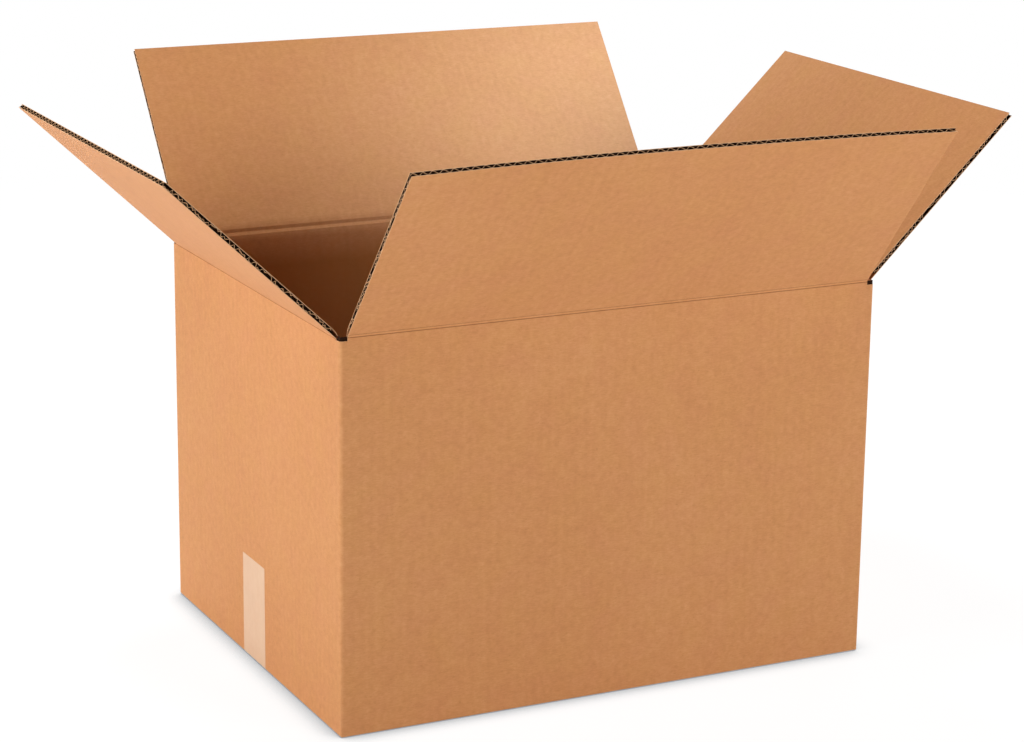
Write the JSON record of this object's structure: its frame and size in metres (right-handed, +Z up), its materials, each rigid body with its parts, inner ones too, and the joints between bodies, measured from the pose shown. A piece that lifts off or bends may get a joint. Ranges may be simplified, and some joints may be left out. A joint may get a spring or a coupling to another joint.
{
  "type": "open corrugated cardboard box",
  "caption": "Open slotted cardboard box with four hinged top flaps, a closed bottom and clear tape along the bottom seam.",
  "frame": {"origin": "centre of the box's footprint, on the surface that it stands on", "axes": "+X along the long side towards the right end wall, -Y out of the front wall, +Z up"},
  "size_m": [0.727, 0.59, 0.4619],
  "materials": {
    "kraft_board": "matte kraft",
    "clear_tape": "clear, slightly glossy"
  },
  "bodies": {
    "carton": {"carton_body": "kraft_board", "bottom_tape": "clear_tape"},
    "front_flap": {"front_flap": "kraft_board"},
    "right_flap": {"right_flap": "kraft_board"},
    "back_flap": {"back_flap": "kraft_board"},
    "left_flap": {"left_flap": "kraft_board"}
  },
  "joints": [
    {"name": "front_flap_hinge", "type": "hinge", "parent": "carton", "child": "front_flap", "pos_m": [0, -0.1818, 0.3173], "axis": [1, 0, 0], "range_deg": [-129.1, 135.9]},
    {"name": "right_flap_hinge", "type": "hinge", "parent": "carton", "child": "right_flap", "pos_m": [0.2326, 0, 0.3131], "axis": [0, 1, 0], "range_deg": [-135.9, 129.1]},
    {"name": "back_flap_hinge", "type": "hinge", "parent": "carton", "child": "back_flap", "pos_m": [0, 0.1818, 0.3173], "axis": [-1, 0, 0], "range_deg": [-128.3, 136.7]},
    {"name": "left_flap_hinge", "type": "hinge", "parent": "carton", "child": "left_flap", "pos_m": [-0.2326, 0, 0.3131], "axis": [0, -1, 0], "range_deg": [-136.7, 128.3]}
  ]
}
